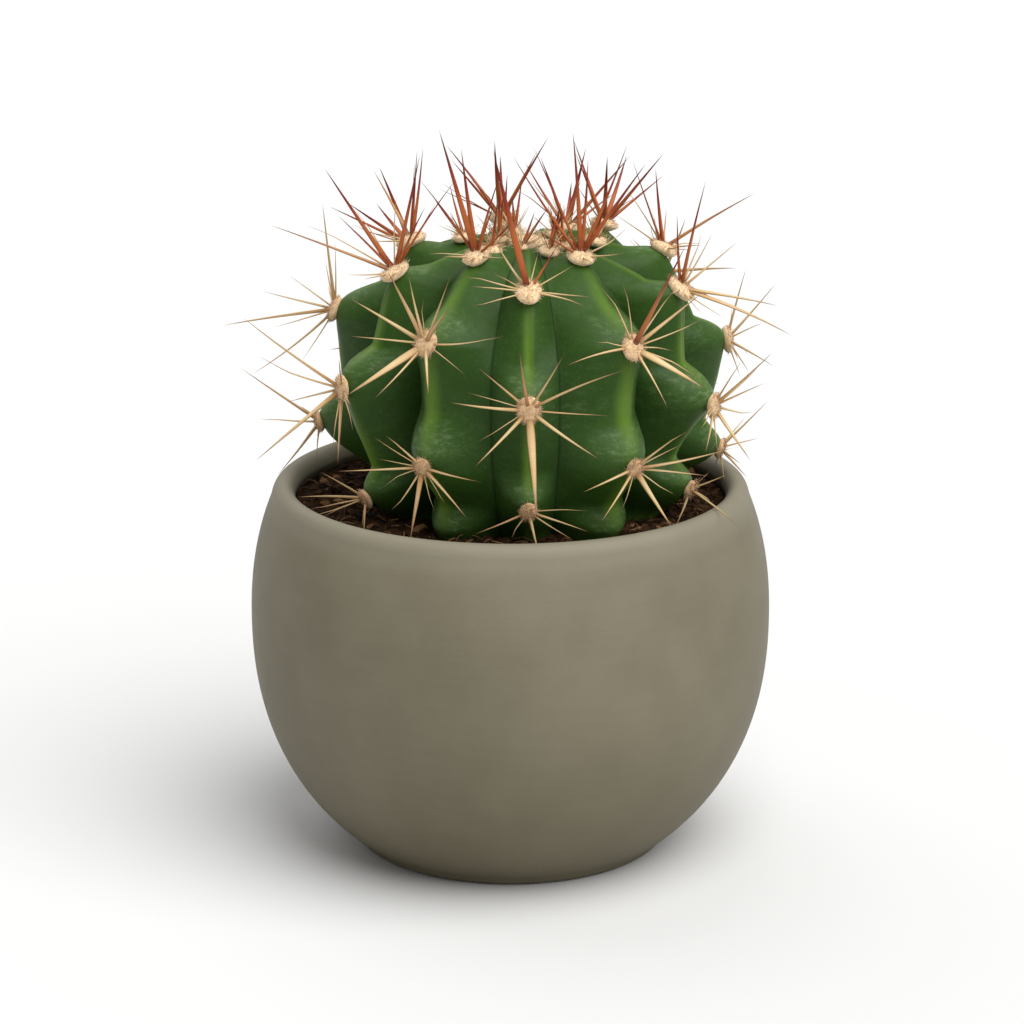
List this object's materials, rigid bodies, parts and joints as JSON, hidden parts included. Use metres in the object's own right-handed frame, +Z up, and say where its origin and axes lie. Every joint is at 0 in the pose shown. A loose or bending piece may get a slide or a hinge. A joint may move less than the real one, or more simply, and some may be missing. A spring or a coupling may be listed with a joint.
{
  "type": "potted round cactus",
  "caption": "Squat ribbed globe cactus with felted, spiny areoles, growing in soil in a bulging matte ceramic pot.",
  "frame": {"origin": "centre of the pot's flat underside, on the surface that it stands on", "axes": "+Z up along the pot's axis; -Y is the front; +X is to the right seen from the front, the way the plant stands off centre"},
  "size_m": [0.1612, 0.15, 0.2157],
  "materials": {
    "pot_ceramic": "matte warm grey-taupe with a very fine grain",
    "potting_soil": "loose dark bark and coir",
    "stem_skin": "waxy satin green, paler along the rib crests",
    "old_spines": "dry straw spines on tan felt",
    "young_spines": "satin orange-red spines on cream felt"
  },
  "bodies": {
    "root": {"pot": "pot_ceramic", "soil": "potting_soil", "cactus_stem": "stem_skin", "crown_tuft": "young_spines", "areole_left5_1": "old_spines", "areole_left5_2": "old_spines", "areole_left5_3": "young_spines", "areole_left4_1": "old_spines", "areole_left4_2": "old_spines", "areole_left4_3": "young_spines", "areole_left3_1": "old_spines", "areole_left3_2": "old_spines", "areole_left3_3": "young_spines", "areole_left2_1": "old_spines", "areole_left2_2": "old_spines", "areole_left2_3": "young_spines", "areole_left1_1": "old_spines", "areole_left1_2": "old_spines", "areole_left1_3": "young_spines", "areole_front_1": "old_spines", "areole_front_2": "old_spines", "areole_front_3": "young_spines", "areole_right1_1": "old_spines", "areole_right1_2": "old_spines", "areole_right1_3": "young_spines", "areole_right2_1": "old_spines", "areole_right2_2": "old_spines", "areole_right2_3": "young_spines", "areole_right3_1": "old_spines", "areole_right3_2": "old_spines", "areole_right3_3": "young_spines", "areole_right4_1": "old_spines", "areole_right4_2": "old_spines", "areole_right4_3": "young_spines", "areole_right5_1": "old_spines", "areole_right5_2": "old_spines", "areole_right5_3": "young_spines"}
  },
  "joints": []
}
